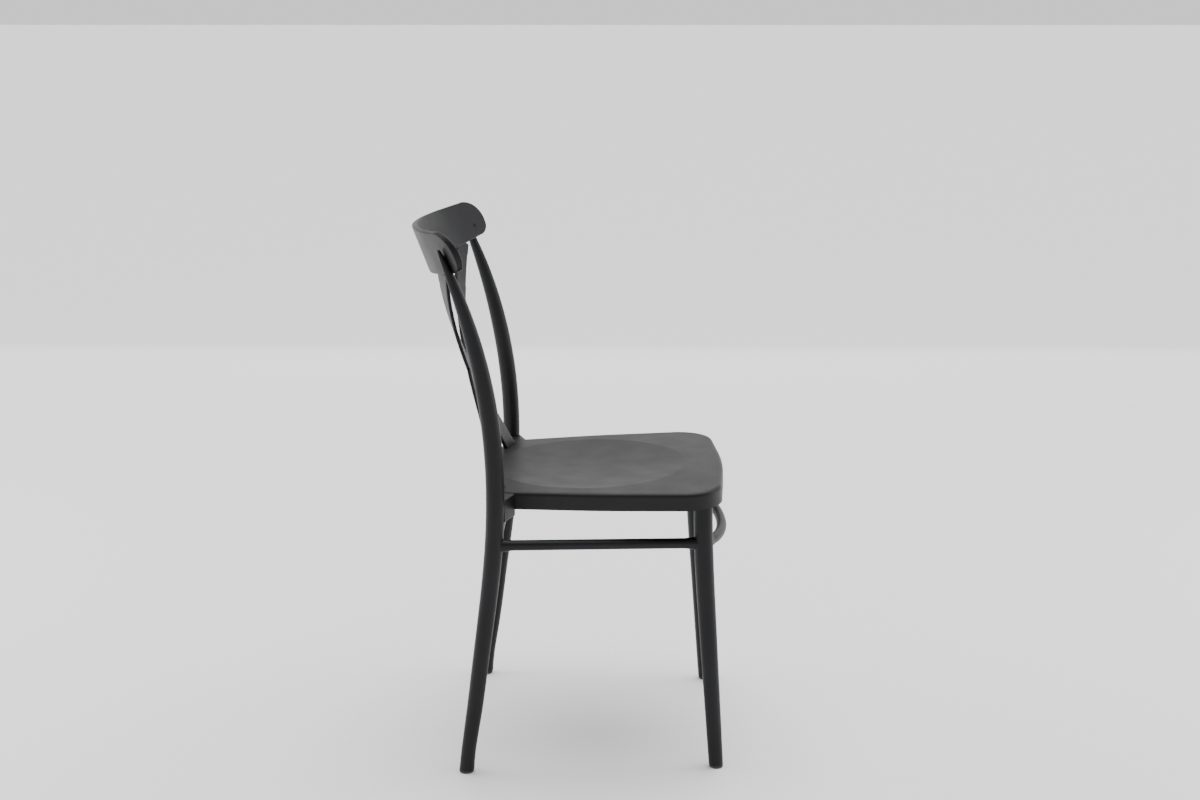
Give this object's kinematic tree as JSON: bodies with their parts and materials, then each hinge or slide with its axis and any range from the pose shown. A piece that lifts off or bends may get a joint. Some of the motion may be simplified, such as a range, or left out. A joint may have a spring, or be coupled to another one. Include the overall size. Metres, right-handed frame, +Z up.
{
  "type": "stacking chair",
  "caption": "Dark cross-back stacking chair: dished seat, curved leaning back posts, bowed top rail, crossed back slats and round stretchers between splayed legs.",
  "frame": {"origin": "centre of the footprint's bounding box, on the floor", "axes": "+Z up, the chair faces -Y, +X is the chair's right-hand side seen from behind"},
  "size_m": [0.481, 0.5164, 0.8733],
  "materials": {
    "frame_resin": "satin moulded charcoal resin",
    "seat_resin": "satin moulded charcoal resin with a fine grain",
    "glide_nylon": "matt black nylon",
    "fastener_steel": "zinc-plated steel, passivated black"
  },
  "bodies": {
    "root": {"seat_shell": "seat_resin", "top_rail": "frame_resin", "rising_slat": "frame_resin", "falling_slat": "frame_resin", "front_stretcher": "frame_resin", "rear_stretcher": "frame_resin", "left_side_stretcher": "frame_resin", "right_side_stretcher": "frame_resin", "left_rear_post": "frame_resin", "right_rear_post": "frame_resin", "left_front_leg": "frame_resin", "right_front_leg": "frame_resin", "left_seat_bracket": "frame_resin", "right_seat_bracket": "frame_resin", "left_rear_glide": "glide_nylon", "right_rear_glide": "glide_nylon", "left_front_glide": "glide_nylon", "right_front_glide": "glide_nylon", "cross_rivet": "fastener_steel", "bracket_screws": "fastener_steel", "leg_screws": "fastener_steel", "rail_screws": "fastener_steel", "stretcher_pins": "fastener_steel"}
  },
  "joints": []
}
